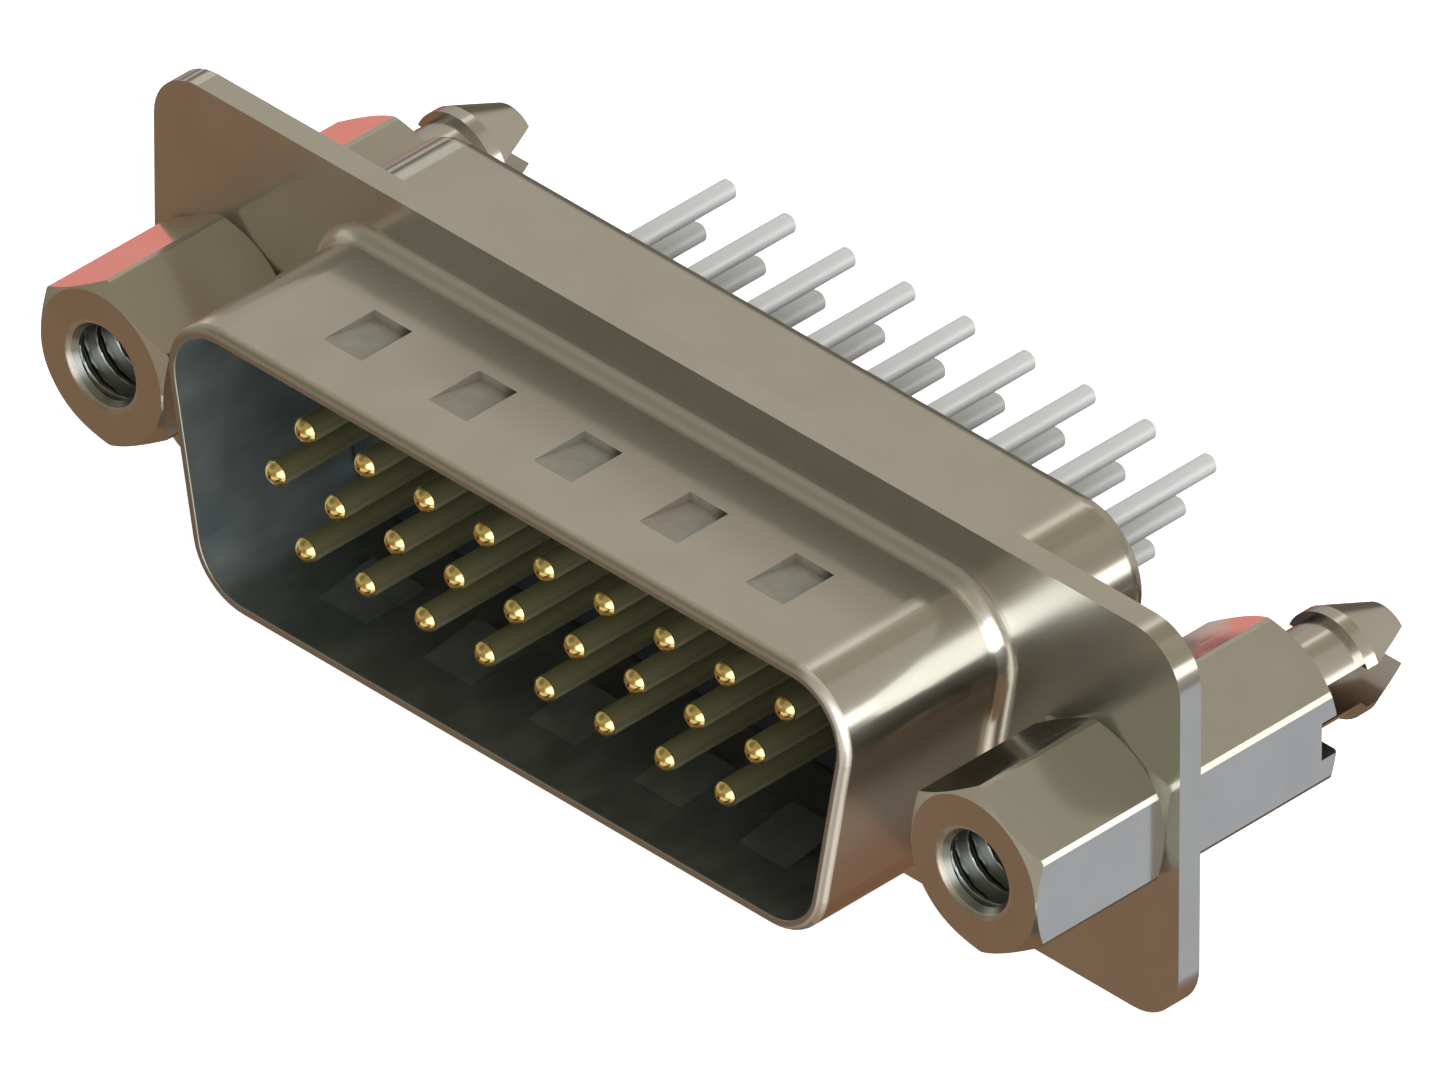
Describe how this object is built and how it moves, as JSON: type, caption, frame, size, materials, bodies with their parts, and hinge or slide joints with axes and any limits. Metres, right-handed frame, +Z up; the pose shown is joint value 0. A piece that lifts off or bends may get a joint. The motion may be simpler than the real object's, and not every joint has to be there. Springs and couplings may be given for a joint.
{
  "type": "d-sub connector",
  "caption": "High-density D-sub plug for straight through-hole board mounting, with a dimpled metal shell, hex screwlocks in front and hex standoffs with split board locks behind.",
  "frame": {"origin": "centre of the flange's front face, on the axis of the D-shaped shroud", "axes": "+Z up towards the wide side of the D, +X along the connector from the left screwlock to the right one, mating side towards -Y, solder tails and board locks towards +Y"},
  "size_m": [0.0392, 0.0171, 0.0126],
  "materials": {
    "shell_plating": "bright nickel plating on drawn steel sheet",
    "hardware": "bright nickel plating on turned steel",
    "insulator": "moulded glass-filled thermoplastic, black",
    "contact": "turned copper alloy, gold on the pin and tin on the tail"
  },
  "bodies": {
    "root": {"front_flange": "shell_plating", "front_shroud": "shell_plating", "rear_flange": "shell_plating", "rear_cover": "shell_plating", "front_insulator": "insulator", "rear_insulator": "insulator", "left_jackscrew": "hardware", "right_jackscrew": "hardware", "left_board_standoff": "hardware", "right_board_standoff": "hardware", "contact_01": "contact", "contact_02": "contact", "contact_03": "contact", "contact_04": "contact", "contact_05": "contact", "contact_06": "contact", "contact_07": "contact", "contact_08": "contact", "contact_09": "contact", "contact_10": "contact", "contact_11": "contact", "contact_12": "contact", "contact_13": "contact", "contact_14": "contact", "contact_15": "contact", "contact_16": "contact", "contact_17": "contact", "contact_18": "contact", "contact_19": "contact", "contact_20": "contact", "contact_21": "contact", "contact_22": "contact", "contact_23": "contact", "contact_24": "contact", "contact_25": "contact", "contact_26": "contact"}
  },
  "joints": []
}
